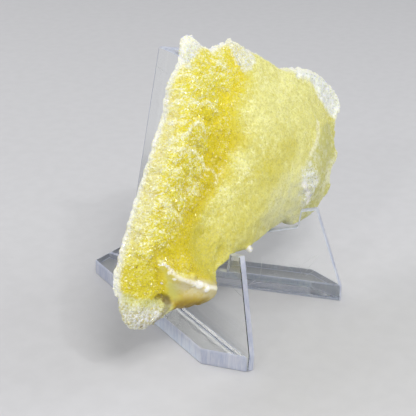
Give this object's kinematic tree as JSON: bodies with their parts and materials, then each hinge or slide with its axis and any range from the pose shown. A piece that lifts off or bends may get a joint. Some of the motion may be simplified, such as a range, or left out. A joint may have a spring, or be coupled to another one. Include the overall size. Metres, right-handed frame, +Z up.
{
  "type": "brucite crystal specimen on an easel",
  "caption": "Drusy yellow brucite crust leaning on a clear V-shaped acrylic easel with hooked ledges and thick glued feet.",
  "frame": {"origin": "middle of the floor rectangle under the whole object, on the surface it stands on", "axes": "+Z up, the face of the crust and the hooks look along -Y, +X to the right seen from the front"},
  "size_m": [0.1275, 0.0822, 0.0935],
  "materials": {
    "brucite": "sparkling druse, waxy to glassy",
    "left_side_plate_acrylic": "clear polished",
    "right_side_plate_acrylic": "clear polished",
    "left_foot_acrylic": "clear polished",
    "right_foot_acrylic": "clear polished"
  },
  "bodies": {
    "root": {"brucite_crystal": "brucite", "left_side_plate": "left_side_plate_acrylic", "right_side_plate": "right_side_plate_acrylic", "left_foot": "left_foot_acrylic", "right_foot": "right_foot_acrylic"}
  },
  "joints": []
}
